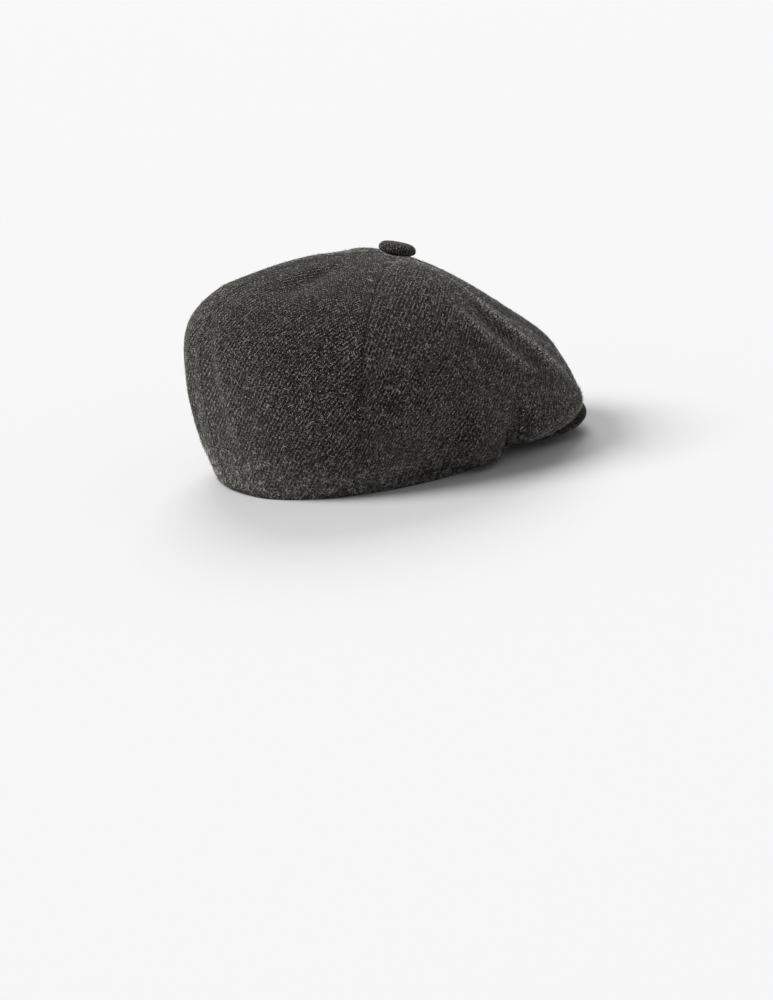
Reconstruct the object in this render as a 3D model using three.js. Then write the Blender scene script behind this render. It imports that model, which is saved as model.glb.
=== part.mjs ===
import * as THREE from 'three';

// A full, soft flat cap: six crown gores round a covered button, and a short peak that the
// crown's front flops over. The cap looks along +X, its left is +Y and its hem rests on z = 0.
// All lengths are in millimetres, all angles in degrees.

// Head oval, measured outside the hem
const headLength = 206;
const headWidth = 166;
const headSquareness = 2.15;

// Crown
const crownHeight = 147;
const crownHalfWidth = 105;
const crownBackReach = 113;
const crownFrontReach = 162;
const crownCentreForward = 43;
const crownFrontSquareness = 2.05;
const crownBackSquareness = 2;
const crownBackAddedSquareness = 0.35;
const wallFrontSquareness = 2.15;
const wallBackSquareness = 2.35;
const clothThickness = 2;
const foldedThickness = 1.3;
const clearance = 0.3;

// Seams: how far the cloth dips into a seam, how wide the dip is, and where the seams stand
const seamDepth = 1.4;
const seamWidth = 5;
const seamEaseAtFold = 0.8;
const frontSideSeamAngle = 65;
const sideBackSeamAngle = 113;

// Button
const buttonDiameter = 26;
const buttonHeight = 8.5;
const buttonEdgeRadius = 2.6;
const buttonEdgeSweepAngle = 144;

// Peak
const peakReach = 61;
const peakHalfWidth = 68;
const peakThickness = 5;
const peakSideThickness = 2.5;
const peakRise = 19.5;
const peakSlope = 0.03;
const peakArch = 6.5;
const peakRootAngle = 38.5;
const peakSquareness = 2.3;
const peakFullestForward = 108;
const peakRoundingFrom = 0.8;
const peakRoundingDepth = 0.75;
const peakCornerLength = 41;

// The crown folds back on itself over the peak, a little behind its tip and past its corners
const foldInset = 5;
const foldHeight = 4.9;
const foldHalfWidth = 69;
const foldFullestForward = 97;
const foldCornerLength = 37;

// Crown sections from the button down. Middle, front and back are places along X, as shares of
// the crown's centre, front reach and back reach. Side is a share of the half width, and the
// three heights are shares of the crown's height.
const crownSections = [
  { middle: 0.88, front: 0.249, back: -0.306, side: 0.028, zFront: 0.944, zSide: 0.950, zBack: 0.956 },
  { middle: 0.88, front: 0.311, back: -0.218, side: 0.124, zFront: 0.922, zSide: 0.948, zBack: 0.978 },
  { middle: 0.72, front: 0.478, back: 0.274, side: 0.455, zFront: 0.814, zSide: 0.932, zBack: 0.999 },
  { middle: 0.56, front: 0.687, back: 0.744, side: 0.781, zFront: 0.636, zSide: 0.790, zBack: 0.927 },
  { middle: 0.40, front: 0.903, back: 0.962, side: 0.962, zFront: 0.419, zSide: 0.600, zBack: 0.778 },
  { middle: 0.20, front: 0.990, back: 1.006, side: 1.000, zFront: 0.213, zSide: 0.350, zBack: 0.497 },
];

// Wall sections below the widest one. Back is a share of the back reach, side of the half width.
// In front both lie on the peak: inset and inboard count fold insets behind its tip and inside
// the fold's sides, and lift counts fold heights above its top. From and to say, as cosines of
// the turn from straight ahead, where a section passes from the wall to the peak. Swing is the
// turn by which its points run ahead, so that the front side seam reaches the peak's corner.
const wallSections = [
  {
    back: 0.964, side: 0.905, zSide: 0.130, zBack: 0.210,
    inset: 1, inboard: 0.2, lift: 0.75, from: 0.15, to: 0.50, swing: 5,
  },
  {
    back: 0.924, side: 0.838, zSide: 0.050, zBack: 0.095,
    inset: 2.2, inboard: 1.3, lift: 0.12, from: 0.25, to: 0.55, swing: 12,
  },
];
const hemSwingAngle = 24;
const hemRiseFromCosine = 0.62;
const hemRiseToCosine = 0.72;
const hemBackRise = 3;
const hemBackRiseFromCosine = 0.88;

// Folds and dents, the same on both sides. Turn is the angle from straight ahead and drop the
// share of the way from the button to the hem, each at the fold's start and end. Width is half
// the fold's width as a turn, and lift its height as a count of cloth thicknesses.
const folds = [
  { startTurn: 62, startDrop: 0.28, endTurn: 28, endDrop: 0.60, width: 6, lift: 1.3 },
  { startTurn: 66, startDrop: 0.38, endTurn: 46, endDrop: 0.60, width: 8, lift: -1.6 },
  { startTurn: 68, startDrop: 0.30, endTurn: 63, endDrop: 0.56, width: 7, lift: 1.2 },
  { startTurn: 46, startDrop: 0.30, endTurn: 12, endDrop: 0.60, width: 9, lift: -0.8 },
  { startTurn: 80, startDrop: 0.62, endTurn: 92, endDrop: 0.86, width: 15, lift: -1.6 },
  { startTurn: 148, startDrop: 0.24, endTurn: 153, endDrop: 0.36, width: 10, lift: -1.3 },
  { startTurn: 171, startDrop: 0.50, endTurn: 165, endDrop: 0.74, width: 5, lift: 1.2 },
  { startTurn: 177, startDrop: 0.50, endTurn: 174, endDrop: 0.80, width: 4, lift: -0.7 },
];

// How finely the surfaces are cut up
const columnsPerGore = 12;
const rowsPerSection = 4;
const peakColumns = 28;
const peakRows = 6;
const buttonSides = 32;
const buttonSteps = 6;

const clothColour = 0x403b38;
const clothRoughness = 0.95;

// Where the cloth's relief and thickness change, as shares of a fold's length or of the drop
const foldFadeIn = { from: -0.35, to: 0.3 };
const foldFadeOut = { from: 0.7, to: 1.35 };
const reliefFadeIn = { from: 0.04, to: 0.14 };
const reliefFadeOut = { from: 0.9, to: 1 };
const seamEaseBefore = 0.06;
const seamEaseEnd = { from: 0.92, to: 1 };
const thinningBefore = { from: 0.08, to: 0.02 };
const thinningAhead = { from: 0.15, to: 0.4 };
const besidePeakWalls = 2.5;
const levelHemShare = 0.3;

const degrees = THREE.MathUtils.degToRad;
const headFront = headLength / 2;
const peakTip = headFront + peakReach;
const peakForward = peakTip - peakFullestForward;
const sectionCount = crownSections.length + wallSections.length;
const step = 0.004;
const foldDrop = crownSections.length / sectionCount;

function smooth(value, from, to) {
  return THREE.MathUtils.smoothstep(value, from, to);
}

// A power of a sine or cosine that keeps its sign, for ovals with squarer corners
function ovalPower(value, squareness) {
  return Math.sign(value) * Math.abs(value) ** (2 / squareness);
}

// The height of the peak's top over a place in plan
function peakTop(x, y) {
  return peakRise - peakSlope * (peakTip - x) - peakArch * (y / peakHalfWidth) ** 2;
}

// Half a crescent's width at a place along X, from its fullest place, its half width there, and
// its lengths ahead of that place and behind it
function crescentHalfWidth(x, fullest, halfWidth, ahead, behind) {
  const reach = x > fullest ? ahead : behind;
  const share = Math.min(Math.abs(x - fullest) / reach, 1);
  return halfWidth * (1 - share ** peakSquareness) ** (1 / peakSquareness);
}

function peakHalfWidthAt(x) {
  return crescentHalfWidth(x, peakFullestForward, peakHalfWidth, peakForward, peakCornerLength);
}

function foldHalfWidthAt(x, inset, inboard) {
  const ahead = peakTip - inset - foldFullestForward;
  return crescentHalfWidth(x, foldFullestForward, foldHalfWidth - inboard, ahead, foldCornerLength);
}

// Points run ahead by the swing midway between straight ahead and the side back seam
function swungTurn(turn, swing) {
  const share = Math.min(Math.abs(turn) / degrees(sideBackSeamAngle), 1);
  return turn - Math.sign(turn) * degrees(swing) * Math.sin(Math.PI * share) ** 2;
}

function crownPoint(section, turn) {
  const ahead = Math.cos(turn);
  const middle = section.middle * crownCentreForward;
  const front = section.front * crownFrontReach - middle;
  const back = middle + section.back * crownBackReach;
  const backSquareness = crownBackSquareness + crownBackAddedSquareness * section.side ** 2;
  const squareness = ahead > 0 ? crownFrontSquareness : backSquareness;
  const x = middle + (ahead > 0 ? front : back) * ovalPower(ahead, squareness);
  const y = section.side * crownHalfWidth * ovalPower(Math.sin(turn), squareness);
  const zEnd = ahead > 0 ? section.zFront : section.zBack;
  const blend = ahead > 0 ? smooth(ahead, 0, 1) : ahead * ahead;
  const z = crownHeight * THREE.MathUtils.lerp(section.zSide, zEnd, blend);
  return new THREE.Vector3(x, y, z);
}

function wallPoint(section, baseTurn) {
  const turn = swungTurn(baseTurn, section.swing);
  const ahead = Math.cos(turn);
  const inset = section.inset * foldInset;
  const reach = ahead > 0 ? peakTip - inset : section.back * crownBackReach;
  const squareness = ahead > 0 ? wallFrontSquareness : wallBackSquareness;
  const x = reach * ovalPower(ahead, squareness);
  const wallY = section.side * crownHalfWidth * ovalPower(Math.sin(turn), squareness);
  if (ahead <= 0) {
    const z = crownHeight * THREE.MathUtils.lerp(section.zSide, section.zBack, ahead * ahead);
    return new THREE.Vector3(x, wallY, z);
  }
  const onPeak = smooth(ahead, section.from, section.to);
  const foldY = foldHalfWidthAt(x, inset, section.inboard * foldInset);
  const peakY = Math.max(foldY, headHalfWidthAt(x) + clearance);
  const y = THREE.MathUtils.lerp(wallY, Math.sign(turn) * peakY, onPeak);
  const lifted = peakTop(x, y) + clearance + section.lift * foldHeight;
  const z = THREE.MathUtils.lerp(section.zSide * crownHeight, lifted, onPeak);
  return new THREE.Vector3(x, y, z);
}

function headOval(turn) {
  const x = headLength / 2 * ovalPower(Math.cos(turn), headSquareness);
  const y = headWidth / 2 * ovalPower(Math.sin(turn), headSquareness);
  return new THREE.Vector3(x, y, 0);
}

function hemPoint(baseTurn) {
  const turn = swungTurn(baseTurn, hemSwingAngle);
  const point = headOval(turn);
  const onPeak = smooth(Math.cos(turn), hemRiseFromCosine, hemRiseToCosine);
  const backRise = hemBackRise * smooth(-Math.cos(turn), hemBackRiseFromCosine, 1);
  point.z = onPeak * (peakTop(point.x, point.y) + clearance) + backRise;
  return point;
}

// Half the head oval's width at a place along X
function headHalfWidthAt(x) {
  const share = Math.min(Math.abs(x) / (headLength / 2), 1);
  return headWidth / 2 * (1 - share ** headSquareness) ** (1 / headSquareness);
}

// How far a place in plan lies over the peak: 1 over it and a wall's width beside it, then less
function overPeak(x, y) {
  if (x < peakFullestForward - peakCornerLength) {
    return 0;
  }
  const beside = Math.abs(y) - peakHalfWidthAt(x);
  const wall = clothThickness + 2 * clearance;
  return 1 - smooth(beside, wall, besidePeakWalls * wall);
}

// The smooth outer surface, without seams and folds: drop runs from the button to the hem.
// Where it lies on the peak it rests a clearance above the peak's top.
function basePoint(turn, drop) {
  const stations = crownSections.map((section) => crownPoint(section, turn));
  stations.push(...wallSections.map((section) => wallPoint(section, turn)));
  stations.push(hemPoint(turn));
  const point = new THREE.CatmullRomCurve3(stations, false, 'centripetal').getPoint(drop);
  const rest = peakTop(point.x, point.y) + 2 * clearance;
  const sunk = Math.max(rest - point.z, 0);
  point.z += drop > foldDrop ? sunk * overPeak(point.x, point.y) : 0;
  return point;
}

function seamDirection(turn, drop) {
  const high = Math.max(drop - step, 0);
  const low = Math.min(drop + step, 1);
  return basePoint(turn, low).sub(basePoint(turn, high));
}

function baseNormal(turn, drop) {
  const along = seamDirection(turn, drop);
  const across = basePoint(turn + step, drop).sub(basePoint(turn - step, drop));
  return along.cross(across).normalize();
}

// The lowest row stands level on the hem, and lies flat only where it is over the peak
function wallNormal(turn, drop) {
  const normal = baseNormal(turn, drop);
  if (drop < 1) {
    return normal;
  }
  const onPeak = smooth(Math.cos(swungTurn(turn, hemSwingAngle)), hemRiseFromCosine, hemRiseToCosine);
  normal.z *= smooth(onPeak, levelHemShare, 1);
  return normal.normalize();
}

// Folds fade out along their length and do not reach the seams' ends
function foldLift(turn, drop) {
  const angle = Math.abs(THREE.MathUtils.radToDeg(turn));
  let lift = 0;
  for (const fold of folds) {
    const along = (drop - fold.startDrop) / (fold.endDrop - fold.startDrop);
    const centre = THREE.MathUtils.lerp(fold.startTurn, fold.endTurn, along);
    const across = (angle - centre) / fold.width;
    const fadeIn = smooth(along, foldFadeIn.from, foldFadeIn.to);
    const fadeOut = 1 - smooth(along, foldFadeOut.from, foldFadeOut.to);
    lift += fold.lift * clothThickness * fadeIn * fadeOut * Math.exp(-across * across);
  }
  return lift;
}

// The dip of the cloth into a seam, for a point some way along its row from it
function seamDip(distance) {
  return -seamDepth * Math.exp(-((distance / seamWidth) ** 2));
}

function wallGeometry(outer, inner) {
  const rows = outer.length;
  const columns = outer[0].length;
  const positions = [...outer.flat(), ...inner.flat()].flatMap((point) => point.toArray());
  const indices = [];
  const outerAt = (row, column) => row * columns + column;
  const innerAt = (row, column) => rows * columns + row * columns + column;
  const addQuad = (a, b, c, d) => indices.push(a, b, c, a, c, d);
  for (let row = 0; row < rows - 1; row++) {
    for (let column = 0; column < columns - 1; column++) {
      const next = [row + 1, column + 1];
      addQuad(outerAt(row, column), outerAt(next[0], column), outerAt(...next), outerAt(row, next[1]));
      addQuad(innerAt(row, column), innerAt(row, next[1]), innerAt(...next), innerAt(next[0], column));
    }
  }
  const last = columns - 1;
  for (let row = 0; row < rows - 1; row++) {
    addQuad(outerAt(row, 0), innerAt(row, 0), innerAt(row + 1, 0), outerAt(row + 1, 0));
    addQuad(outerAt(row, last), outerAt(row + 1, last), innerAt(row + 1, last), innerAt(row, last));
  }
  const foot = rows - 1;
  for (let column = 0; column < columns - 1; column++) {
    addQuad(outerAt(0, column), outerAt(0, column + 1), innerAt(0, column + 1), innerAt(0, column));
    addQuad(outerAt(foot, column), innerAt(foot, column), innerAt(foot, column + 1), outerAt(foot, column + 1));
  }
  const geometry = new THREE.BufferGeometry();
  geometry.setAttribute('position', new THREE.Float32BufferAttribute(positions, 3));
  geometry.setIndex(indices);
  geometry.computeVertexNormals();
  return geometry;
}

function addMesh(parent, name, geometry) {
  const settings = { color: clothColour, roughness: clothRoughness, metalness: 0 };
  const material = new THREE.MeshStandardMaterial(settings);
  const mesh = new THREE.Mesh(geometry, material);
  mesh.name = name;
  parent.add(mesh);
  return mesh;
}

// The direction square to a seam, in the cloth, towards a point of the gore beside it
function awayFromSeam(turn, drop, inside) {
  const normal = wallNormal(turn, drop);
  const along = seamDirection(turn, drop).projectOnPlane(normal).normalize();
  const away = inside.clone().sub(basePoint(turn, drop));
  return away.projectOnPlane(normal).projectOnPlane(along).normalize();
}

// The cloth is pressed thinner where it folds back on itself and lies on the peak
function thicknessAt(turn, drop) {
  const nearFold = smooth(drop, foldDrop - thinningBefore.from, foldDrop - thinningBefore.to);
  const ahead = smooth(Math.cos(turn), thinningAhead.from, thinningAhead.to);
  return THREE.MathUtils.lerp(clothThickness, foldedThickness, nearFold * ahead);
}

// The same solid on the other side of the cap's middle plane
function mirrored(geometry) {
  const copy = geometry.clone();
  copy.scale(1, -1, 1);
  const flipped = Array.from(copy.getIndex().array);
  for (let corner = 0; corner < flipped.length; corner += 3) {
    [flipped[corner], flipped[corner + 1]] = [flipped[corner + 1], flipped[corner]];
  }
  copy.setIndex(flipped);
  copy.computeVertexNormals();
  return copy;
}

// One gore: a wall of cloth between two seams, half a gap short of each
function goreGeometry(fromTurn, toTurn) {
  const rowCount = sectionCount * rowsPerSection;
  const outer = [];
  const inner = [];
  for (let row = 0; row <= rowCount; row++) {
    const drop = row / rowCount;
    const turns = [];
    for (let column = 0; column <= columnsPerGore; column++) {
      turns.push(degrees(THREE.MathUtils.lerp(fromTurn, toTurn, column / columnsPerGore)));
    }
    const base = turns.map((turn) => basePoint(turn, drop));
    const first = base[0].clone();
    const end = base[columnsPerGore].clone();
    const pastFold = smooth(drop, foldDrop - seamEaseBefore, foldDrop);
    const ease = seamEaseAtFold * pastFold * (1 - smooth(drop, seamEaseEnd.from, seamEaseEnd.to));
    const halfGap = (seam) => clearance / 2 + (seam === frontSideSeamAngle ? ease : 0);
    base[0].addScaledVector(awayFromSeam(turns[0], drop, base[1]), halfGap(fromTurn));
    base[columnsPerGore].addScaledVector(
      awayFromSeam(turns[columnsPerGore], drop, base[columnsPerGore - 1]), halfGap(toTurn));
    if (drop === 1) {
      base[0].z = first.z;
      base[columnsPerGore].z = end.z;
    }
    const fadeIn = smooth(drop, reliefFadeIn.from, reliefFadeIn.to);
    const fade = fadeIn * (1 - smooth(drop, reliefFadeOut.from, reliefFadeOut.to));
    const outerRow = [];
    const innerRow = [];
    base.forEach((point, column) => {
      const normal = wallNormal(turns[column], drop);
      const seamDistance = Math.min(point.distanceTo(first), point.distanceTo(end));
      const lift = fade * (foldLift(turns[column], drop) + seamDip(seamDistance));
      const outside = point.clone().addScaledVector(normal, lift);
      outerRow.push(outside);
      innerRow.push(outside.clone().addScaledVector(normal, -thicknessAt(turns[column], drop)));
    });
    outer.push(outerRow);
    inner.push(innerRow);
  }
  return wallGeometry(outer, inner);
}

// The peak: a stiff crescent from the head oval to its rounded edge, arched from side to side
function peakGeometry() {
  const cornerShare = (peakFullestForward - headOval(degrees(peakRootAngle)).x) / peakCornerLength;
  const cornerTurn = Math.PI / 2 + Math.asin(cornerShare ** (peakSquareness / 2));
  const top = [];
  const bottom = [];
  for (let row = 0; row <= peakRows; row++) {
    const topRow = [];
    const bottomRow = [];
    for (let column = 0; column <= peakColumns; column++) {
      const share = 2 * column / peakColumns - 1;
      const root = headOval(degrees(peakRootAngle * share));
      const turn = cornerTurn * share;
      const reach = Math.cos(turn) > 0 ? peakForward : peakCornerLength;
      const edgeX = peakFullestForward + reach * ovalPower(Math.cos(turn), peakSquareness);
      const edgeY = peakHalfWidth * ovalPower(Math.sin(turn), peakSquareness);
      const edge = new THREE.Vector3(edgeX, edgeY, 0);
      const outward = row / peakRows;
      const point = root.lerp(edge, outward);
      const beside = Math.min((point.y / peakHalfWidth) ** 2, 1);
      const half = THREE.MathUtils.lerp(peakThickness, peakSideThickness, beside) / 2;
      const rounding = smooth(outward, peakRoundingFrom, 1) ** 2 * peakRoundingDepth;
      const middle = peakTop(point.x, point.y) - half;
      const height = half * Math.sqrt(1 - rounding);
      topRow.push(new THREE.Vector3(point.x, point.y, middle + height));
      bottomRow.push(new THREE.Vector3(point.x, point.y, middle - height));
    }
    top.push(topRow);
    bottom.push(bottomRow);
  }
  return wallGeometry(top, bottom);
}

// The button: a padded disc with a domed top and a rounded edge
function buttonGeometry() {
  const radius = buttonDiameter / 2;
  const profile = [new THREE.Vector2(0, 0)];
  for (let part = 0; part <= buttonSteps; part++) {
    const angle = degrees(buttonEdgeSweepAngle * part / buttonSteps - 90);
    const x = radius - buttonEdgeRadius + buttonEdgeRadius * Math.cos(angle);
    profile.push(new THREE.Vector2(x, buttonEdgeRadius * (1 + Math.sin(angle))));
  }
  const shoulder = profile[profile.length - 1].clone();
  for (let part = 1; part <= buttonSteps; part++) {
    const angle = degrees(90 * part / buttonSteps);
    const rise = (buttonHeight - shoulder.y) * Math.sin(angle);
    profile.push(new THREE.Vector2(Math.max(shoulder.x * Math.cos(angle), 0), shoulder.y + rise));
  }
  profile[profile.length - 1].x = 0;
  const geometry = new THREE.LatheGeometry(profile, buttonSides);
  geometry.rotateX(Math.PI / 2);
  return geometry;
}

const cap = new THREE.Group();

const gores = [
  { name: 'gore_front', from: 0, to: frontSideSeamAngle },
  { name: 'gore_side', from: frontSideSeamAngle, to: sideBackSeamAngle },
  { name: 'gore_back', from: sideBackSeamAngle, to: 180 },
];
for (const gore of gores) {
  const left = goreGeometry(gore.from, gore.to);
  addMesh(cap, `${gore.name}_left`, left);
  addMesh(cap, `${gore.name}_right`, mirrored(left));
}

addMesh(cap, 'peak', peakGeometry());

// The button lies on the plane of the section under its rim
const button = addMesh(cap, 'button', buttonGeometry());
const rimFront = crownPoint(crownSections[1], 0);
const rimBack = crownPoint(crownSections[1], Math.PI);
const rimAlong = rimFront.clone().sub(rimBack).normalize();
const buttonUp = rimAlong.clone().cross(new THREE.Vector3(0, 1, 0));
button.quaternion.setFromUnitVectors(new THREE.Vector3(0, 0, 1), buttonUp);
button.position.copy(basePoint(0, 0)).addScaledVector(buttonUp, clearance);

// The origin is the middle of the whole cap's foot
const box = new THREE.Box3().setFromObject(cap);
cap.position.set(-(box.min.x + box.max.x) / 2, 0, -box.min.z);

export default cap;
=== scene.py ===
import math

import bmesh
import bpy
import numpy as np
from mathutils import Matrix, Vector


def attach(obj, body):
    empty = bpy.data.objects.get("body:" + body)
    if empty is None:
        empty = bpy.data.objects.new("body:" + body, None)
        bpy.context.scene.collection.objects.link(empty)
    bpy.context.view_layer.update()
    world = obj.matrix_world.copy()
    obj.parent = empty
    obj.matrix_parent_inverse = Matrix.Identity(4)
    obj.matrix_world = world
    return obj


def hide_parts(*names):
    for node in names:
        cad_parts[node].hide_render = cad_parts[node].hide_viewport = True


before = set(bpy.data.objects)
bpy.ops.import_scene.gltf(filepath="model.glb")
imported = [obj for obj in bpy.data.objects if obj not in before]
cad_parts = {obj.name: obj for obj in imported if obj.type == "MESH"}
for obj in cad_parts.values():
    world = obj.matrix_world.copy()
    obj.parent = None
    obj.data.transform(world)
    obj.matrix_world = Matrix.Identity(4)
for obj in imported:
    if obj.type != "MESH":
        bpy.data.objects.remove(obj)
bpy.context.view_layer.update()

# Gores of the crown
# Six gores of heavy charcoal wool twill, sewn edge to edge from the button to the hem. The two
# front ones flop over the peak, fold back and lie on it. The seams are pressed open inside.
MM = 0.001
head_length = 206.0
head_width = 166.0
head_squareness = 2.15
crown_height = 147.0
crown_half_width = 105.0
crown_back_reach = 113.0
crown_front_reach = 162.0
crown_centre_forward = 43.0
cloth_thickness = 2.0
folded_thickness = 1.3
clearance = 0.3
front_side_seam = 65.0
side_back_seam = 113.0
peak_reach = 61.0
peak_half_width = 68.0
peak_thickness = 5.0
peak_side_thickness = 2.5
peak_rise = 19.5
peak_slope = 0.03
peak_arch = 6.5
peak_squareness = 2.3
peak_fullest = 108.0
peak_corner_length = 41.0
fold_inset = 5.0
fold_height = 4.9
fold_half_width = 69.0
fold_fullest = 97.0
fold_corner_length = 37.0
peak_tip = head_length / 2 + peak_reach
crown_shift = -25.020

# shares of the named sizes: middle, front, back, side, height in front, at the side, at the back
crown_sections = (
    (0.88, 0.249, -0.306, 0.028, 0.944, 0.950, 0.956),
    (0.88, 0.311, -0.218, 0.124, 0.922, 0.948, 0.978),
    (0.72, 0.478, 0.274, 0.455, 0.814, 0.932, 0.999),
    (0.56, 0.687, 0.744, 0.781, 0.636, 0.790, 0.927),
    (0.40, 0.903, 0.962, 0.962, 0.419, 0.600, 0.778),
    (0.20, 0.990, 1.006, 1.000, 0.213, 0.350, 0.497),
)
# back, side, height at the side and back, inset, inboard, lift, from, to, swing
wall_sections = (
    (0.964, 0.905, 0.130, 0.210, 1.0, 0.2, 0.75, 0.15, 0.50, 5.0),
    (0.924, 0.838, 0.050, 0.095, 2.2, 1.3, 0.12, 0.25, 0.55, 12.0),
)
hem_swing = 24.0
hem_rise = (0.62, 0.72)
hem_back_rise = 3.0
hem_back_rise_from = 0.88
crown_front_squareness = 2.05
crown_back_squareness = 2.0
crown_back_squareness_gain = 0.35
wall_front_squareness = 2.15
wall_back_squareness = 2.35
peak_side_fade = 2.5
fold_drop = len(crown_sections) / (len(crown_sections) + len(wall_sections))


def smooth(value, start, end):
    share = np.clip((value - start) / (end - start), 0.0, 1.0)
    return share * share * (3.0 - 2.0 * share)


def oval_power(value, squareness):
    return np.sign(value) * np.abs(value) ** (2.0 / squareness)


def peak_top(x, y):
    return peak_rise - peak_slope * (peak_tip - x) - peak_arch * (y / peak_half_width) ** 2


def crescent_half_width(x, fullest, half_width, ahead, behind):
    reach = np.where(x > fullest, ahead, behind)
    share = np.minimum(np.abs(x - fullest) / reach, 1.0)
    return half_width * (1.0 - share**peak_squareness) ** (1.0 / peak_squareness)


def peak_half_width_at(x):
    return crescent_half_width(
        x, peak_fullest, peak_half_width, peak_tip - peak_fullest, peak_corner_length
    )


def fold_half_width_at(x, inset, inboard):
    ahead = peak_tip - inset - fold_fullest
    return crescent_half_width(
        x, fold_fullest, fold_half_width - inboard, ahead, fold_corner_length
    )


def head_half_width_at(x):
    share = np.minimum(np.abs(x) / (head_length / 2), 1.0)
    return head_width / 2 * (1.0 - share**head_squareness) ** (1.0 / head_squareness)


def swung_turn(turn, swing):
    share = np.minimum(np.abs(turn) / math.radians(side_back_seam), 1.0)
    return turn - np.sign(turn) * math.radians(swing) * np.sin(math.pi * share) ** 2


def crown_point(section, turn):
    middle_share, front_share, back_share, side, z_front, z_side, z_back = section
    ahead = np.cos(turn)
    middle = middle_share * crown_centre_forward
    front = front_share * crown_front_reach - middle
    back = middle + back_share * crown_back_reach
    behind_squareness = crown_back_squareness + crown_back_squareness_gain * side**2
    squareness = np.where(ahead > 0, crown_front_squareness, behind_squareness)
    x = middle + np.where(ahead > 0, front, back) * oval_power(ahead, squareness)
    y = side * crown_half_width * oval_power(np.sin(turn), squareness)
    z_end = np.where(ahead > 0, z_front, z_back)
    blend = np.where(ahead > 0, smooth(ahead, 0.0, 1.0), ahead * ahead)
    z = crown_height * (z_side + (z_end - z_side) * blend)
    return np.stack([x, y, z], axis=-1)


def wall_point(section, base_turn):
    back, side, z_side, z_back, inset, inboard, lift, start, end, swing = section
    turn = swung_turn(base_turn, swing)
    ahead = np.cos(turn)
    inset = inset * fold_inset
    reach = np.where(ahead > 0, peak_tip - inset, back * crown_back_reach)
    squareness = np.where(ahead > 0, wall_front_squareness, wall_back_squareness)
    x = reach * oval_power(ahead, squareness)
    wall_y = side * crown_half_width * oval_power(np.sin(turn), squareness)
    on_peak = np.where(ahead > 0, smooth(ahead, start, end), 0.0)
    fold_y = fold_half_width_at(x, inset, inboard * fold_inset)
    peak_y = np.sign(turn) * np.maximum(fold_y, head_half_width_at(x) + clearance)
    y = wall_y + (peak_y - wall_y) * on_peak
    lifted = peak_top(x, y) + clearance + lift * fold_height
    wall_z = z_side + np.where(ahead > 0, 0.0, (z_back - z_side) * ahead * ahead)
    z = wall_z * crown_height + (lifted - wall_z * crown_height) * on_peak
    return np.stack([x, y, z], axis=-1)


def hem_point(base_turn):
    turn = swung_turn(base_turn, hem_swing)
    x = head_length / 2 * oval_power(np.cos(turn), head_squareness)
    y = head_width / 2 * oval_power(np.sin(turn), head_squareness)
    z = smooth(np.cos(turn), *hem_rise) * (peak_top(x, y) + clearance)
    z += hem_back_rise * smooth(-np.cos(turn), hem_back_rise_from, 1.0)
    return np.stack([x, y, z], axis=-1)


def over_peak(x, y):
    beside = np.abs(y) - peak_half_width_at(x)
    wall = cloth_thickness + 2 * clearance
    near = 1.0 - smooth(beside, wall, peak_side_fade * wall)
    return np.where(x < peak_fullest - peak_corner_length, 0.0, near)


def drape_line(stations, drop):
    """Run a smooth curve through the stations, with a place on it for each point."""
    count = len(stations)
    scaled = np.clip(drop, 0.0, 1.0) * (count - 1)
    index = np.clip(scaled.astype(int), 0, count - 2)
    share = (scaled - index)[:, None]
    ends = (2 * stations[:1] - stations[1:2], stations, 2 * stations[-1:] - stations[-2:-1])
    line = np.concatenate(ends)
    gaps = np.sqrt(np.linalg.norm(np.diff(line, axis=0), axis=-1, keepdims=True)) + 1e-6
    point = np.arange(len(drop))
    p0, p1, p2, p3 = (line[index + step, point] for step in range(4))
    d0, d1, d2 = (gaps[index + step, point] for step in range(3))
    start = ((p1 - p0) / d0 - (p2 - p0) / (d0 + d1) + (p2 - p1) / d1) * d1
    end = ((p2 - p1) / d1 - (p3 - p1) / (d1 + d2) + (p3 - p2) / d2) * d1
    square = (-3 * p1 + 3 * p2 - 2 * start - end) * share**2
    cube = (2 * p1 - 2 * p2 + start + end) * share**3
    return p1 + start * share + square + cube


def crown_surface(turn, drop):
    """The smooth outside of the crown, in millimetres from the middle of the hem."""
    stations = [crown_point(section, turn) for section in crown_sections]
    stations += [wall_point(section, turn) for section in wall_sections]
    stations.append(hem_point(turn))
    point = drape_line(np.stack(stations), drop)
    rest = peak_top(point[:, 0], point[:, 1]) + 2 * clearance
    sunk = np.maximum(rest - point[:, 2], 0.0) * over_peak(point[:, 0], point[:, 1])
    point[:, 2] += np.where(drop > fold_drop, sunk, 0.0)
    return point


normal_step = 0.004
# the hem's wall stands plumb from this drop on, except where this share of it is on the peak
hem_plumb_from = 0.985
hem_plumb_on_peak = 0.3


def crown_normal(turn, drop):
    low = crown_surface(turn, np.minimum(drop + normal_step, 1.0))
    along = low - crown_surface(turn, np.maximum(drop - normal_step, 0.0))
    across = crown_surface(turn + normal_step, drop) - crown_surface(turn - normal_step, drop)
    normal = np.cross(along, across)
    on_peak = smooth(np.cos(swung_turn(turn, hem_swing)), *hem_rise)
    level = smooth(drop, hem_plumb_from, 1.0) * (1.0 - smooth(on_peak, hem_plumb_on_peak, 1.0))
    normal[:, 2] *= 1.0 - level
    return normal / np.linalg.norm(normal, axis=-1, keepdims=True)


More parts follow.
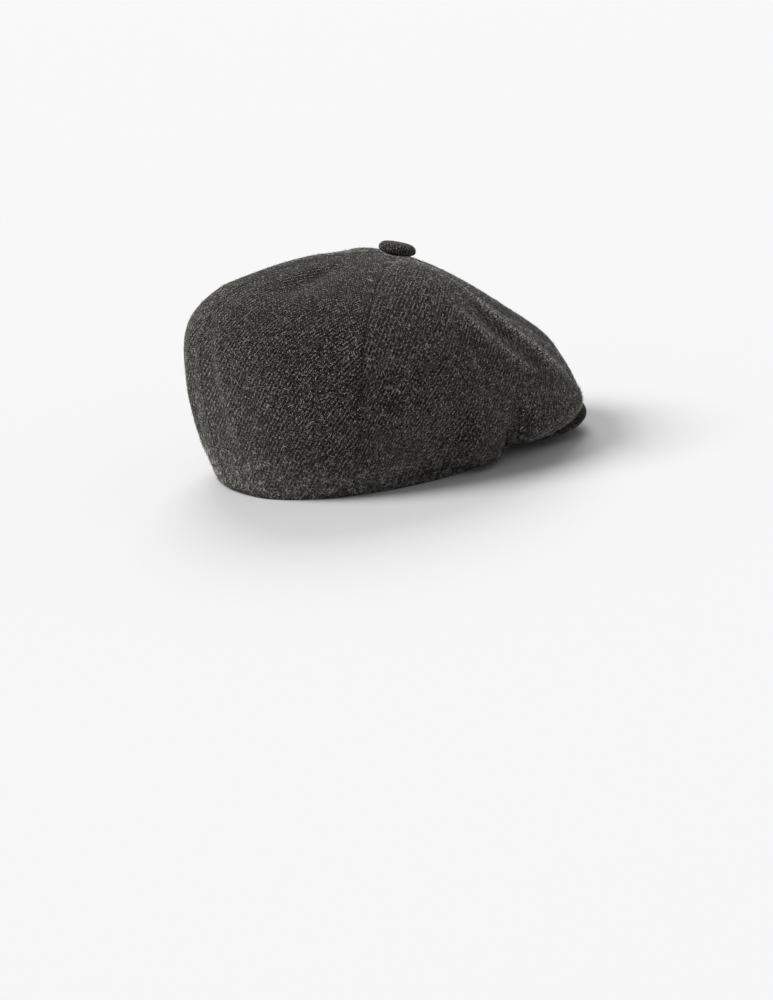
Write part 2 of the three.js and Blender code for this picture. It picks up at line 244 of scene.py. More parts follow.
# start turn and drop, end turn and drop, how far the middle bows aside as a turn, half width as
# a turn, height in millimetres, how much paler the crest is, partly from rubbed wear and partly
# as a painted sheen highlight
crown_folds = (
    (60.0, 0.31, 36.0, 0.565, 5.3, 4.2, 3.8, 2.2),
    (69.0, 0.37, 50.0, 0.54, 2.5, 6.0, -1.2, 0.0),
    (44.0, 0.30, 18.0, 0.54, 0.0, 8.0, -2.2, 0.0),
    (77.5, 0.39, 58.0, 0.535, 2.3, 4.5, 2.4, 1.3),
    (80.0, 0.62, 92.0, 0.86, 0.0, 15.0, -3.2, 0.0),
    (150.0, 0.24, 154.0, 0.34, 0.0, 9.0, -4.2, 0.0),
    (172.5, 0.50, 164.5, 0.70, 0.0, 2.6, 1.6, 0.4),
    (176.0, 0.50, 169.0, 0.74, 0.0, 4.0, -1.0, 0.0),
)
fold_fade_in = (-0.35, 0.3)
fold_fade_out = (0.7, 1.35)
crest_sharpness = 1.3
rub_and_sheen_width = 0.7
# the folds fade out towards the button and the hem
relief_fade_in = (0.04, 0.14)
relief_fade_out = (0.9, 1.0)


def fold_lift(turn, drop):
    """How far the folds lift the cloth, and how pale their crests are from wear and painted sheen.
    """
    angle = np.abs(np.degrees(turn))
    lift = np.zeros_like(drop)
    rub_and_sheen = np.zeros_like(drop)
    for start_turn, start_drop, end_turn, end_drop, bow, width, height, crest_rub_and_sheen in crown_folds:
        along = (drop - start_drop) / (end_drop - start_drop)
        centre = start_turn + (end_turn - start_turn) * along + bow * 4.0 * along * (1.0 - along)
        window = smooth(along, *fold_fade_in) * (1.0 - smooth(along, *fold_fade_out))
        aside = np.abs(angle - centre) / width
        if height > 0:
            lift += height * window * np.exp(-(aside**crest_sharpness))
            # the crest's paleness: partly rubbed wear, partly a painted sheen highlight
            rub_and_sheen += crest_rub_and_sheen * window * np.exp(-((aside / rub_and_sheen_width) ** 2))
        else:
            lift += height * window * np.exp(-(aside**2))
    fade = smooth(drop, *relief_fade_in) * (1.0 - smooth(drop, *relief_fade_out))
    return fade * lift, fade * rub_and_sheen


# fade in of the crown's overhang down the gore, fade out, fade in towards the front
overhang_fades = ((0.60, 0.73), (0.79, 0.90), (0.2, 0.5))
overhang_out = 2.5
overhang_out_at_side = 5.0
overhang_down = 0.2
overhang_down_at_side = 8.0


def fold_overhang(turn, drop):
    """The crown's fold over the peak hangs past the peak's edge and hides its upper corner."""
    down_in, down_out, forward = overhang_fades
    share = smooth(drop, *down_in) * (1.0 - smooth(drop, *down_out))
    share *= smooth(np.cos(swung_turn(turn, hem_swing)), *forward)
    side = np.sin(turn) ** 4
    out = share * (overhang_out + overhang_out_at_side * side)
    fall = share * (overhang_down + overhang_down_at_side * side)
    return np.stack([out * np.cos(turn), out * np.sin(turn), -fall], axis=-1)


seam_groove = 0.25
seam_groove_width = 0.8
seam_dip = 0.25
seam_dip_width = 4.0
seam_shadow = 0.35
seam_shadow_width = 1.2
front_side_share = 0.3
back_welt = 0.6
back_welt_width = 2.2
# a painted highlight along the lower edge of the fold over the peak: strength, drop, width, forward
# fade
lip_highlight = 0.8
lip_highlight_drop = 0.735
lip_highlight_width = 0.025
lip_highlight_forward = (0.3, 0.6)
left_crest_share = 0.5
seam_fade_in = (0.02, 0.06)
thinning_drop = (fold_drop - 0.08, fold_drop - 0.02)
thinning_forward = (0.15, 0.4)


def seam_relief(distance, at_back, strength):
    groove = strength * seam_groove * np.exp(-((distance / seam_groove_width) ** 2))
    dip = seam_dip * np.exp(-((distance / seam_dip_width) ** 2))
    welt = back_welt * np.exp(-((distance / back_welt_width) ** 2))
    return np.where(at_back, welt, -dip) - groove


gore_columns = 72
gore_rows = 200
seam_gap = 0.02
seam_step = 0.002
grain_samples = 400


def mesh_object(name, build):
    mesh = bpy.data.meshes.new(name)
    shape = bmesh.new()
    build(shape)
    shape.to_mesh(mesh)
    shape.free()
    piece = bpy.data.objects.new(name, mesh)
    bpy.context.scene.collection.objects.link(piece)
    return piece


def read_points(mesh):
    flat = np.empty(len(mesh.vertices) * 3)
    mesh.vertices.foreach_get("co", flat)
    return flat.reshape(-1, 3)


def write_points(mesh, points):
    mesh.vertices.foreach_set("co", points.astype(np.float32).ravel())
    mesh.update()


def write_cloth_map(mesh, places):
    """Lay the cloth's own grain on the mesh, in metres along and across it."""
    layer = mesh.uv_layers.new(name="grain")
    corner = np.empty(len(mesh.loops), dtype=np.int32)
    mesh.loops.foreach_get("vertex_index", corner)
    layer.data.foreach_set("uv", places[corner].astype(np.float32).ravel())


def shade_smooth(mesh):
    mesh.polygons.foreach_set("use_smooth", np.ones(len(mesh.polygons), dtype=bool))


def slab(columns, rows):
    """A flat block of cloth one unit each way, cut into columns and rows on both faces."""

    def build(shape):
        bmesh.ops.create_grid(shape, x_segments=columns, y_segments=rows, size=0.5)
        faces = bmesh.ops.extrude_face_region(shape, geom=list(shape.faces))["geom"]
        top = [part for part in faces if isinstance(part, bmesh.types.BMVert)]
        bmesh.ops.translate(shape, verts=top, vec=(0.0, 0.0, 1.0))
        bmesh.ops.recalc_face_normals(shape, faces=list(shape.faces))

    return build


def near_seam(turn):
    """How strongly the nearer seam shows, and whether it is the welted one at the back."""
    angle = np.abs(np.degrees(turn))
    by_front_side = (angle > front_side_seam / 2) & (angle < (front_side_seam + side_back_seam) / 2)
    return np.where(by_front_side, front_side_share, 1.0), angle > (side_back_seam + 180.0) / 2


def grain_down(middle_turn, drop):
    """How far down the gore's middle line each drop lies, in millimetres."""
    line_drop = np.linspace(0.0, 1.0, grain_samples)
    line = crown_surface(np.full_like(line_drop, middle_turn), line_drop)
    length = np.concatenate([[0.0], np.cumsum(np.linalg.norm(np.diff(line, axis=0), axis=1))])
    return np.interp(drop, line_drop, length)


def crest_wear_and_painted_light(turn, drop, rub_and_sheen, near, strength):
    """Paler on the crests from wear and painted sheen, with a painted highlight along the fold over
    the peak and painted shadow in the seams.
    """
    wear_and_painted_light = rub_and_sheen * np.where(turn > 0, left_crest_share, 1.0)
    on_lip = np.exp(-(((drop - lip_highlight_drop) / lip_highlight_width) ** 2))
    wear_and_painted_light += lip_highlight * on_lip * smooth(np.cos(turn), *lip_highlight_forward)
    return wear_and_painted_light - strength * seam_shadow * np.exp(-((near / seam_shadow_width) ** 2))


def gore_piece(name, first_turn, last_turn):
    """One cut of cloth between two seams, worked out from the crown's surface."""
    piece = mesh_object(name, slab(gore_columns, gore_rows))
    mesh = piece.data
    grid = read_points(mesh)
    across = np.rint((grid[:, 0] + 0.5) * gore_columns)
    down = np.rint((grid[:, 1] + 0.5) * gore_rows)
    inside = grid[:, 2] < 0.5
    share = across / gore_columns
    drop = down / gore_rows
    turn = np.radians(first_turn + (last_turn - first_turn) * share)
    base = crown_surface(turn, drop)
    normal = crown_normal(turn, drop)
    first_edge = crown_surface(np.full_like(turn, math.radians(first_turn)), drop)
    last_edge = crown_surface(np.full_like(turn, math.radians(last_turn)), drop)
    to_first = np.linalg.norm(base - first_edge, axis=1)
    to_last = np.linalg.norm(base - last_edge, axis=1)
    near = np.minimum(to_first, to_last)
    strength, at_back = near_seam(turn)
    lift, rub_and_sheen = fold_lift(turn, drop)
    lift += smooth(drop, *seam_fade_in) * seam_relief(near, at_back, strength)
    folded = smooth(drop, *thinning_drop) * smooth(np.cos(turn), *thinning_forward)
    thickness = cloth_thickness + (folded_thickness - cloth_thickness) * folded
    points = base + normal * (lift - np.where(inside, thickness, 0.0))[:, None]
    points += fold_overhang(turn, drop)
    inward = np.where(share < 0.5, 1.0, -1.0) * np.where(near < 1e-6, seam_gap / 2, 0.0)
    side = crown_surface(turn + seam_step, drop) - crown_surface(turn - seam_step, drop)
    side /= np.linalg.norm(side, axis=1, keepdims=True) + 1e-9
    points += side * inward[:, None]
    points[:, 0] += crown_shift
    write_points(mesh, points * MM)
    # crest wear with painted sheen, the fold's painted highlight and painted seam shadow, for the
    # material
    rub_and_painted_light = mesh.attributes.new("rub_and_painted_light", "FLOAT", "POINT")
    wear_and_painted_light = crest_wear_and_painted_light(turn, drop, rub_and_sheen, near, strength)
    rub_and_painted_light.data.foreach_set("value", wear_and_painted_light.astype(np.float32))
    grain_across = (share - 0.5) * (to_first + to_last)
    down_cloth = grain_down(np.radians((first_turn + last_turn) / 2), drop)
    write_cloth_map(mesh, np.stack([grain_across, -down_cloth], axis=1) * MM)
    shade_smooth(mesh)
    return piece


def linked(group, kind, inputs, **settings):
    """Add one node to a node tree, set it up and link or fill its inputs."""
    node = group.nodes.new(kind)
    for name, value in settings.items():
        setattr(node, name, value)
    for key, value in inputs.items():
        if isinstance(value, bpy.types.NodeSocket):
            group.links.new(value, node.inputs[key])
        else:
            node.inputs[key].default_value = value
    return node


def maths(group, operation, first, second=0.0, third=0.0):
    inputs = {0: first, 1: second, 2: third}
    if operation in ("FLOOR", "FRACT", "SINE", "COSINE"):
        inputs = {0: first}
    elif operation != "MULTIPLY_ADD":
        inputs = {0: first, 1: second}
    return linked(group, "ShaderNodeMath", inputs, operation=operation).outputs[0]


def noise(group, place, scale, detail, roughness):
    inputs = {"Vector": place, "Scale": scale, "Detail": detail, "Roughness": roughness}
    return linked(group, "ShaderNodeTexNoise", inputs).outputs["Fac"]


def map_range(group, value, start, end, to_start, to_end):
    inputs = {0: value, 1: start, 2: end, 3: to_start, 4: to_end}
    return linked(group, "ShaderNodeMapRange", inputs).outputs[0]


# name, kind and way of the weave's sockets
twill_sockets = (
    ("Grain", "NodeSocketVector", "INPUT"),
    ("Yarns per metre", "NodeSocketFloat", "INPUT"),
    ("Grain turn", "NodeSocketFloat", "INPUT"),
    ("Height", "NodeSocketFloat", "OUTPUT"),
    ("Shade", "NodeSocketFloat", "OUTPUT"),
    ("Nap", "NodeSocketFloat", "OUTPUT"),
    ("Warmth", "NodeSocketFloat", "OUTPUT"),
)
yarn_wander = 0.0012
yarn_wander_scale = 260.0
yarns_in_repeat = 4.0
weft_step = -1.0
weft_height_share = 0.35
yarn_seed = 7.0
along_fibre_scale = (1900.0, 900.0, 1.0)
cross_fibre_scale = 1250.0
grit_gain = 1.42
grit_height = 0.3
yarn_unevenness = 0.3
yarn_shade_floor = 0.35
nap_scale = 30.0
warmth_scale = 230.0


def make_twill_group():
    """Two up, two down twill: yarn floats stepping along a diagonal, each of its own shade."""
    group = bpy.data.node_groups.new("wool_twill", "ShaderNodeTree")
    for name, kind, way in twill_sockets:
        group.interface.new_socket(name=name, in_out=way, socket_type=kind)
    entry = group.nodes.new("NodeGroupInput")
    leave = group.nodes.new("NodeGroupOutput")
    grain = entry.outputs["Grain"]
    wander = linked(
        group,
        "ShaderNodeTexNoise",
        {"Vector": grain, "Scale": yarn_wander_scale, "Detail": 1.0},
    ).outputs["Color"]
    centred = linked(
        group, "ShaderNodeVectorMath", {0: wander, 1: (0.5, 0.5, 0.5)}, operation="SUBTRACT"
    ).outputs[0]
    moved = linked(
        group, "ShaderNodeVectorMath", {0: centred, "Scale": yarn_wander}, operation="SCALE"
    ).outputs[0]
    place = linked(
        group, "ShaderNodeVectorMath", {0: grain, 1: moved}, operation="ADD"
    ).outputs[0]
    turned = linked(
        group,
        "ShaderNodeVectorRotate",
        {"Vector": place, "Angle": entry.outputs["Grain turn"]},
        rotation_type="Z_AXIS",
    ).outputs[0]
    yarns = linked(
        group,
        "ShaderNodeVectorMath",
        {0: turned, "Scale": entry.outputs["Yarns per metre"]},
        operation="SCALE",
    ).outputs[0]
    split = linked(group, "ShaderNodeSeparateXYZ", {0: yarns})
    across, down = split.outputs[0], split.outputs[1]

    def float_of(own, other, shift):
        number = maths(group, "FLOOR", own)
        place = maths(group, "ADD", maths(group, "SUBTRACT", other, number), shift)
        phase = maths(group, "FLOORED_MODULO", place, yarns_in_repeat)
        swell = maths(group, "SINE", maths(group, "MULTIPLY", phase, math.pi / 2))
        middle = maths(group, "SUBTRACT", maths(group, "FRACT", own), 0.5)
        round_ = maths(group, "COSINE", maths(group, "MULTIPLY", middle, math.pi))
        height = maths(group, "MULTIPLY", maths(group, "MAXIMUM", swell, 0.0), round_)
        turn = maths(group, "FLOOR", maths(group, "DIVIDE", place, yarns_in_repeat))
        cell = linked(group, "ShaderNodeCombineXYZ", {0: number, 1: turn, 2: shift + yarn_seed})
        shade = linked(
            group, "ShaderNodeTexWhiteNoise", {"Vector": cell.outputs[0]}
        ).outputs["Value"]
        return height, shade

    warp_height, warp_shade = float_of(across, down, 0.0)
    weft_height, weft_shade = float_of(down, across, weft_step)
    weft_height = maths(group, "MULTIPLY", weft_height, weft_height_share)
    height = maths(group, "MAXIMUM", warp_height, weft_height)
    over = maths(group, "GREATER_THAN", warp_height, weft_height)
    shade = linked(
        group, "ShaderNodeMix", {0: over, 2: weft_shade, 3: warp_shade}, data_type="FLOAT"
    ).outputs[0]
    fibre_place = linked(
        group, "ShaderNodeVectorMath", {0: turned, 1: along_fibre_scale}, operation="MULTIPLY"
    ).outputs[0]
    fibre = noise(group, fibre_place, 1.0, 1.0, 0.6)
    crossing = noise(group, turned, cross_fibre_scale, 1.0, 0.6)
    both = maths(group, "ADD", fibre, crossing)
    grit = maths(group, "MULTIPLY_ADD", both, grit_gain, -grit_gain)
    uneven = maths(group, "MULTIPLY_ADD", shade, yarn_unevenness, yarn_shade_floor)
    hairy = maths(group, "MULTIPLY_ADD", grit, grit_height, height)
    group.links.new(hairy, leave.inputs["Height"])
    group.links.new(maths(group, "ADD", grit, uneven), leave.inputs["Shade"])
    group.links.new(noise(group, grain, nap_scale, 3.0, 0.6), leave.inputs["Nap"])
    group.links.new(noise(group, grain, warmth_scale, 3.0, 0.7), leave.inputs["Warmth"])
    return group


twill_group = make_twill_group()
yarns_per_metre = 1150.0
twill_turn = math.radians(-15.0)

# position on the ramp, brightness of the wool there
wool_shades = ((0.2, 0.004), (0.38, 0.017), (0.5, 0.048), (0.62, 0.11), (0.8, 0.38))
wool_tint = (1.0, 0.96, 0.88)
cool_wool = (0.94, 1.0, 1.1, 1.0)
warm_wool = (1.08, 1.0, 0.84, 1.0)
warmth_stops = ((0.35, cool_wool), (0.65, warm_wool))
# weave heights and the tones they map to: painted shade in the weave's hollows, painted light on
# its raised floats
rib_heights = (0.15, 0.85)
painted_rib_shading_tones = (0.1, 1.9)
# from the back to the front of the cap, in metres, the nap hides more of the weave
nap_places = (-0.08, 0.07)
nap_covers = (0.1, 0.55)
nap_patches = (0.35, 0.65)
# how far the crests' wear and painted light cover the weave
rub_and_painted_light_cover = 0.25
weave_depth = 0.0007


# the paleness makes paler and darker copies of the one twill for each part: painted light and shade
def make_twill(name, paleness_with_painted_light):
    """Heathered charcoal wool: mostly dark fibre, with pale flecks and a soft nap, and painted
    light and shade.
    """
    material = bpy.data.materials.new(name)
    material.use_nodes = True
    tree = material.node_tree
    shader = tree.nodes["Principled BSDF"]
    grain = linked(tree, "ShaderNodeUVMap", {}, uv_map="grain").outputs[0]
    twill = linked(tree, "ShaderNodeGroup", {}, node_tree=twill_group)
    tree.links.new(grain, twill.inputs["Grain"])
    twill.inputs["Yarns per metre"].default_value = yarns_per_metre
    twill.inputs["Grain turn"].default_value = twill_turn
    ramp = linked(tree, "ShaderNodeValToRGB", {0: twill.outputs["Shade"]})
    stops = ramp.color_ramp.elements
    while len(stops) < len(wool_shades):
        stops.new(0.5)
    for stop, (position, shade) in zip(stops, wool_shades):
        stop.position = position
        stop.color = tuple(shade * paleness_with_painted_light * tint for tint in wool_tint) + (1.0,)
    painted_rib_shading = map_range(tree, twill.outputs["Height"], *rib_heights, *painted_rib_shading_tones)
    spot = linked(tree, "ShaderNodeTexCoord", {}).outputs["Object"]
    forward = linked(tree, "ShaderNodeSeparateXYZ", {0: spot}).outputs[0]
    raised = map_range(tree, forward, *nap_places, *nap_covers)
    napped = map_range(tree, twill.outputs["Nap"], *nap_patches, 0.0, raised)
    # painted light read from the mesh: crest wear with painted sheen, a painted highlight on the
    # fold, painted seam shadow
    rub_and_painted_light = linked(tree, "ShaderNodeAttribute", {}, attribute_name="rub_and_painted_light").outputs["Fac"]
    covered = maths(tree, "MULTIPLY_ADD", rub_and_painted_light, rub_and_painted_light_cover, napped)
    relief = linked(
        tree, "ShaderNodeMix", {0: covered, 2: painted_rib_shading, 3: 1.0}, data_type="FLOAT"
    ).outputs[0]
    tone = maths(tree, "MULTIPLY", relief, maths(tree, "ADD", rub_and_painted_light, 1.0))
    toned = linked(
        tree, "ShaderNodeVectorMath", {0: ramp.outputs[0], "Scale": tone}, operation="SCALE"
    ).outputs[0]
    warmth = linked(tree, "ShaderNodeValToRGB", {0: twill.outputs["Warmth"]})
    for stop, (position, colour) in zip(warmth.color_ramp.elements, warmth_stops):
        stop.position = position
        stop.color = colour
    heathered = linked(
        tree, "ShaderNodeVectorMath", {0: toned, 1: warmth.outputs[0]}, operation="MULTIPLY"
    ).outputs[0]
    tree.links.new(heathered, shader.inputs["Base Color"])
    shader.inputs["Roughness"].default_value = 0.95
    shader.inputs["Specular IOR Level"].default_value = 0.05
    shader.inputs["Sheen Weight"].default_value = 0.1
    shader.inputs["Sheen Roughness"].default_value = 0.5
    bump = linked(
        tree,
        "ShaderNodeBump",
        {"Height": twill.outputs["Height"], "Strength": 0.9, "Distance": weave_depth},
    )
    tree.links.new(bump.outputs[0], shader.inputs["Normal"])
    return material


crown_twill = make_twill("crown_twill", 0.85)
# width, length and area of the flat cut in metres, and what it lies on
front_cut = (0.139, 0.231, 0.0204, ["peak"])
side_cut = (0.152, 0.219, 0.0203, [])
back_cut = (0.132, 0.262, 0.0245, [])
gore_cuts = (
    ("_front_left", 0.0, front_side_seam, front_cut),
    ("_side_left", front_side_seam, side_back_seam, side_cut),
    ("_back_left", side_back_seam, 180.0, back_cut),
    ("_back_right", -180.0, -side_back_seam, back_cut),
    ("_side_right", -side_back_seam, -front_side_seam, side_cut),
    ("_front_right", -front_side_seam, 0.0, front_cut),
)
for part, first_turn, last_turn, cut in gore_cuts:
    cloth = gore_piece("cloth" + part, first_turn, last_turn)
    cloth.data.materials.append(crown_twill)
    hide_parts("gore" + part)
    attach(cloth, "root")

# Stray fibres
# Short pale hairs that stand out of the napped wool. They lie nearly flat on the cloth, and a
# few lift off it. They are part of the yarn, so nothing holds them but the weave.
fibre_doublings = 12
fibre_thickness = 0.15
fibre_widths = (0.7, 1.5)
fibre_cuts = (-0.15, 0.15)
fibre_lengths = (1.2, 4.5)
fibre_rises = (0.15, 0.45)
fibre_arch = 2.4
fibre_bend = 0.45
fibre_root_depth = 0.1
# a few fibres lift off the cloth: by how much, and how rare they are
loose_rise = 0.9
loose_rarity = 9
# where the roots lie: degrees kept clear of a seam, drops kept to, spread along the drop
root_margin = 0.6
root_drops = (0.06, 0.985)
root_spread = (2.1, 1.3)
rng = np.random.default_rng(20)


def fibre_stock(shape):
    """A heap of like fibres in a row, one metre apart, ready to be laid out."""
    bmesh.ops.create_cone(shape, segments=3, radius1=0.5, radius2=0.2, depth=1.0, cap_ends=True)
    for height in fibre_cuts:
        bmesh.ops.bisect_plane(
            shape,
            geom=list(shape.verts) + list(shape.edges) + list(shape.faces),
            plane_co=(0.0, 0.0, height),
            plane_no=(0.0, 0.0, 1.0),
        )
    for doubling in range(fibre_doublings):
        whole = list(shape.verts) + list(shape.edges) + list(shape.faces)
        copy = bmesh.ops.duplicate(shape, geom=whole)["geom"]
        moved = [part for part in copy if isinstance(part, bmesh.types.BMVert)]
        bmesh.ops.translate(shape, verts=moved, vec=(2.0**doubling, 0.0, 0.0))


def fibre_piece(name, first_turn, last_turn):
    """Lay the fibres out at random over one gore, most of them along the cloth."""
    piece = mesh_object(name, fibre_stock)
    stock = read_points(piece.data)
    pick = np.rint(stock[:, 0]).astype(int)
    count = 2**fibre_doublings
    turn = np.radians(rng.uniform(first_turn + root_margin, last_turn - root_margin, count))
    drop = np.clip(rng.beta(*root_spread, count), *root_drops)
    root = crown_surface(turn, drop)
    normal = crown_normal(turn, drop)
    lift = fold_lift(turn, drop)[0]
    root += normal * (lift - fibre_root_depth)[:, None] + fold_overhang(turn, drop)
    side = np.cross(normal, rng.normal(size=(count, 3)))
    side /= np.linalg.norm(side, axis=1, keepdims=True)
    ahead = np.cross(side, normal)
    length = rng.uniform(*fibre_lengths, count)
    rise = rng.uniform(*fibre_rises, count) + loose_rise * rng.random(count) ** loose_rarity
    bend = rng.normal(0.0, fibre_bend, count)
    width = fibre_thickness * rng.uniform(*fibre_widths, count)
    along = (stock[:, 2] + 0.5)[:, None]
    local = stock[:, 0] - pick
    points = root[pick] + ahead[pick] * (length[pick][:, None] * along)
    points += normal[pick] * (rise[pick][:, None] * np.sin(along * fibre_arch))
    points += side[pick] * (bend[pick][:, None] * along**2 + (local * width[pick])[:, None])
    points += normal[pick] * (stock[:, 1] * width[pick])[:, None]
    points[:, 0] += crown_shift
    points[:, 2] = np.maximum(points[:, 2], fibre_thickness / 2)
    write_points(piece.data, points * MM)
    return piece


loose_fibre = bpy.data.materials.new("loose_fibre")
loose_fibre.use_nodes = True
fibre_tree = loose_fibre.node_tree
fibre_shader = fibre_tree.nodes["Principled BSDF"]
fibre_spot = linked(fibre_tree, "ShaderNodeTexCoord", {}).outputs["Object"]
fibre_tone = linked(
    fibre_tree, "ShaderNodeTexNoise", {"Vector": fibre_spot, "Scale": 420.0, "Detail": 1.0}
).outputs["Fac"]
fibre_stops = ((0.38, (0.05, 0.048, 0.045, 1.0)), (0.63, (0.8, 0.77, 0.71, 1.0)))
fibre_ramp = linked(fibre_tree, "ShaderNodeValToRGB", {0: fibre_tone})
for stop, (position, colour) in zip(fibre_ramp.color_ramp.elements, fibre_stops):
    stop.position = position
    stop.color = colour
fibre_tree.links.new(fibre_ramp.outputs[0], fibre_shader.inputs["Base Color"])
fibre_shader.inputs["Roughness"].default_value = 0.7
for part, first_turn, last_turn, cut in gore_cuts:
    hairs = fibre_piece("fibres" + part, first_turn, last_turn)
    hairs.data.materials.append(loose_fibre)
    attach(hairs, "root")

# The peak
# A stiff crescent of board covered in the same twill, drawn tight and sewn into the hem in
# front. Its front edge alone shows, as a dark lip under the fold of the crown, its twill darkened
# by painted shade.
peak_root_angle = 38.5
peak_droop = 2.5
peak_columns = 160
peak_rows = 44
peak_row_crowding = 1.6
peak_edge_reach = 1.2
peak_edge_rounding = 0.97


def peak_piece(name):
    piece = mesh_object(name, slab(peak_columns, peak_rows))
    grid = read_points(piece.data)
    share = 2.0 * grid[:, 0]
    outward = 1.0 - (0.5 - grid[:, 1]) ** peak_row_crowding
    root_turn = np.radians(peak_root_angle) * share
    root_x = head_length / 2 * oval_power(np.cos(root_turn), head_squareness)
    root_y = head_width / 2 * oval_power(np.sin(root_turn), head_squareness)
    corner_x = head_length / 2 * math.cos(math.radians(peak_root_angle)) ** (2 / head_squareness)
    corner_share = (peak_fullest - corner_x) / peak_corner_length
    corner_turn = math.pi / 2 + math.asin(corner_share ** (peak_squareness / 2))
    turn = corner_turn * share
    reach = np.where(np.cos(turn) > 0, peak_tip - peak_fullest, peak_corner_length)
    edge_x = peak_fullest + reach * oval_power(np.cos(turn), peak_squareness)
    edge_y = peak_half_width * oval_power(np.sin(turn), peak_squareness)
    x = root_x + (edge_x - root_x) * outward
    y = root_y + (edge_y - root_y) * outward
    beside = np.minimum((y / peak_half_width) ** 2, 1.0)
    half = (peak_thickness + (peak_side_thickness - peak_thickness) * beside) / 2
    from_edge = (1.0 - outward) * np.hypot(edge_x - root_x, edge_y - root_y)
    rounding = np.clip(1.0 - from_edge / (peak_edge_reach * half), 0.0, 1.0)
    height = half * np.sqrt(1.0 - peak_edge_rounding * rounding**2)
    z = peak_top(x, y) - half + np.where(grid[:, 2] > 0.5, height, -height)
    z -= peak_droop * outward**2
    points = np.stack([x + crown_shift, y, z], axis=1)
    write_points(piece.data, points * MM)
    write_cloth_map(piece.data, np.stack([y, x - z], axis=1) * MM)
    shade_smooth(piece.data)
    return piece


# the peak's copy of the twill is painted darker than the crown's, as shade under the fold
peak_twill = make_twill("peak_twill", 0.6)
peak_cover = peak_piece("peak_cover")
peak_cover.data.materials.append(peak_twill)
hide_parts("peak")
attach(peak_cover, "root")

# The covered button
# A padded disc covered in the same twill, its cloth gathered underneath and sewn on top where
# the six gores meet.
button_radius = 13.0
button_height = 8.5
button_waist = 3.6
button_gathers = 18
button_gather_depth = 0.35
button_gather_wander = 1.5
# how far down the ball, and how far out, the gathers reach
button_gather_down = (0.35, -0.6)
button_gather_out = (0.3, 0.8)
button_side_squareness = 0.5
button_foot_squareness = 0.8
button_cloth_drop = 0.35


def button_piece(name):
    def build(shape):
        bmesh.ops.create_uvsphere(shape, u_segments=108, v_segments=48, radius=1.0)

    piece = mesh_object(name, build)
    ball = read_points(piece.data)
    flat = np.hypot(ball[:, 0], ball[:, 1])
    around = np.arctan2(ball[:, 1], ball[:, 0])
    radius = button_radius * flat**button_side_squareness
    top = button_waist + (button_height - button_waist) * np.abs(ball[:, 2])
    foot = button_waist - button_waist * np.abs(ball[:, 2]) ** button_foot_squareness
    z = np.where(ball[:, 2] > 0, top, foot)
    pull = smooth(ball[:, 2], *button_gather_down) * smooth(flat, *button_gather_out)
    wave = button_gathers * around + button_gather_wander * np.sin(3 * around)
    radius -= button_gather_depth * pull * (1.0 + np.cos(wave))
    points = np.stack([radius * np.cos(around), radius * np.sin(around), z], axis=1)
    grain = points[:, :2] * (1.0 + button_cloth_drop * (1.0 - np.abs(ball[:, 2:3])))
    rim = crown_sections[1]
    front = np.array([rim[1] * crown_front_reach, 0.0, rim[4] * crown_height])
    back = np.array([-rim[2] * crown_back_reach, 0.0, rim[6] * crown_height])
    ahead = (front - back) / np.linalg.norm(front - back)
    upward = np.array([-ahead[2], 0.0, ahead[0]])
    left = np.array([0.0, 1.0, 0.0])
    centre = crown_surface(np.zeros(1), np.zeros(1))[0] + upward * clearance
    placed = centre + points[:, :1] * ahead + points[:, 1:2] * left + points[:, 2:] * upward
    placed[:, 0] += crown_shift
    write_points(piece.data, placed * MM)
    write_cloth_map(piece.data, grain * MM)
    shade_smooth(piece.data)
    return piece


# the button's copy of the twill is paler than the crown's: painted light on the top of the cap
button_twill = make_twill("button_twill", 0.95)
button_cover = button_piece("button_cover")
button_cover.data.materials.append(button_twill)
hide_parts("button")
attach(button_cover, "root")

# The studio
# A plain pale floor under soft even light, and the camera a little behind the cap's right side.
floor_half = 15.0
floor_colour = (0.79, 0.79, 0.79, 1.0)


def floor_sheet(shape):
    bmesh.ops.create_grid(shape, x_segments=1, y_segments=1, size=floor_half)


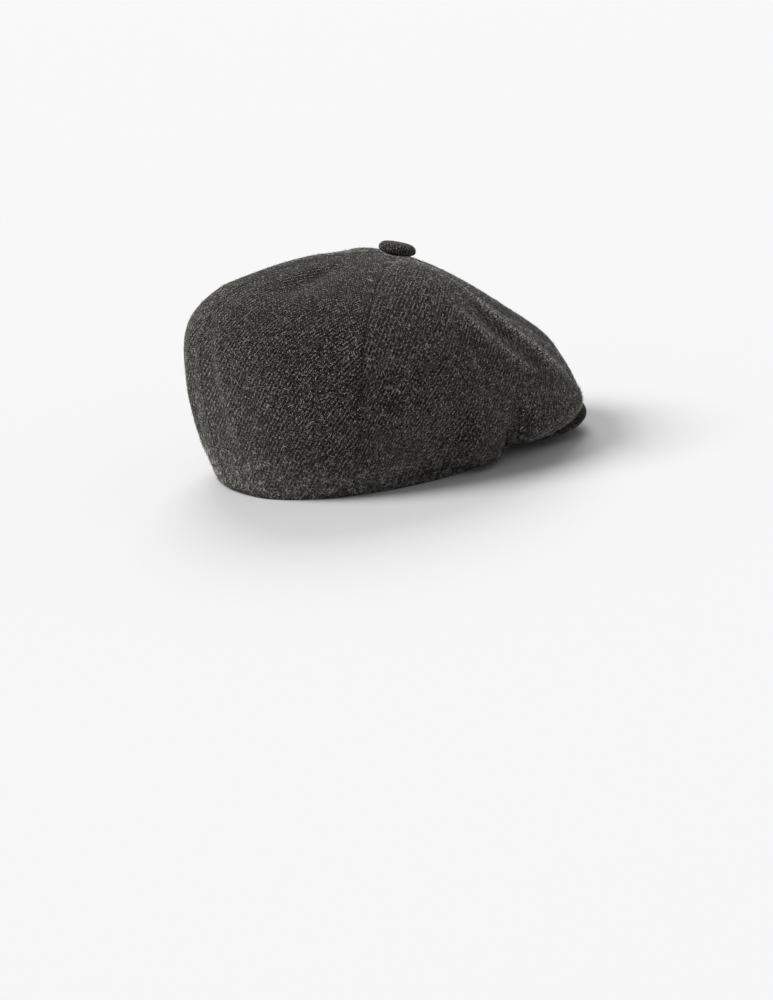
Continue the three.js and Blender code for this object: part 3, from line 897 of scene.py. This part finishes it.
floor = mesh_object("floor", floor_sheet)
paper = bpy.data.materials.new("floor_paper")
paper.use_nodes = True
paper_shader = paper.node_tree.nodes["Principled BSDF"]
paper_shader.inputs["Base Color"].default_value = floor_colour
paper_shader.inputs["Roughness"].default_value = 0.9
floor.data.materials.append(paper)

# the camera, in metres: how far off it stands, and where it aims from the middle of the hem
camera_distance = 3.5
aim_right = 0.0162
aim_down = 0.0269
view_turn = math.radians(-26.0)
view_rise = math.radians(15.4)
view_roll = math.radians(5.5)
level_right = Vector((math.cos(view_turn), math.sin(view_turn), 0.0))
towards = Vector(
    (
        math.sin(view_turn) * math.cos(view_rise),
        -math.cos(view_turn) * math.cos(view_rise),
        math.sin(view_rise),
    )
)
level_up = towards.cross(level_right)
right = level_right * math.cos(view_roll) - level_up * math.sin(view_roll)
up = level_right * math.sin(view_roll) + level_up * math.cos(view_roll)
aim = Vector((crown_shift * MM, 0.0, 0.0)) + right * aim_right - up * aim_down
camera_data = bpy.data.cameras.new("camera")
camera_data.sensor_fit = "VERTICAL"
camera_data.sensor_height = 36.0
camera_data.lens = 182.7
camera_data.clip_end = 100.0
camera = bpy.data.objects.new("camera", camera_data)
bpy.context.scene.collection.objects.link(camera)
turned = Matrix((right, up, towards)).transposed().to_4x4()
camera.matrix_world = Matrix.Translation(aim + towards * camera_distance) @ turned
bpy.context.scene.camera = camera


def soft_sun(name, direction, strength, spread):
    light = bpy.data.lights.new(name, "SUN")
    light.energy = strength
    light.angle = math.radians(spread)
    lamp = bpy.data.objects.new(name, light)
    lamp.rotation_mode = "QUATERNION"
    lamp.rotation_quaternion = Vector(direction).to_track_quat("Z", "Y")
    bpy.context.scene.collection.objects.link(lamp)


soft_sun("key", up * 0.8 - right * 1.0 + towards * 0.35, 2.5, 30.0)
soft_sun("rim", up * 1.0 - right * 0.1 - towards * 0.75, 1.5, 35.0)
world = bpy.data.worlds.new("studio")
world.use_nodes = True
world.node_tree.nodes["Background"].inputs[0].default_value = (1.0, 1.0, 1.0, 1.0)
world.node_tree.nodes["Background"].inputs[1].default_value = 0.3
bpy.context.scene.world = world
bpy.context.scene.view_settings.view_transform = "Standard"
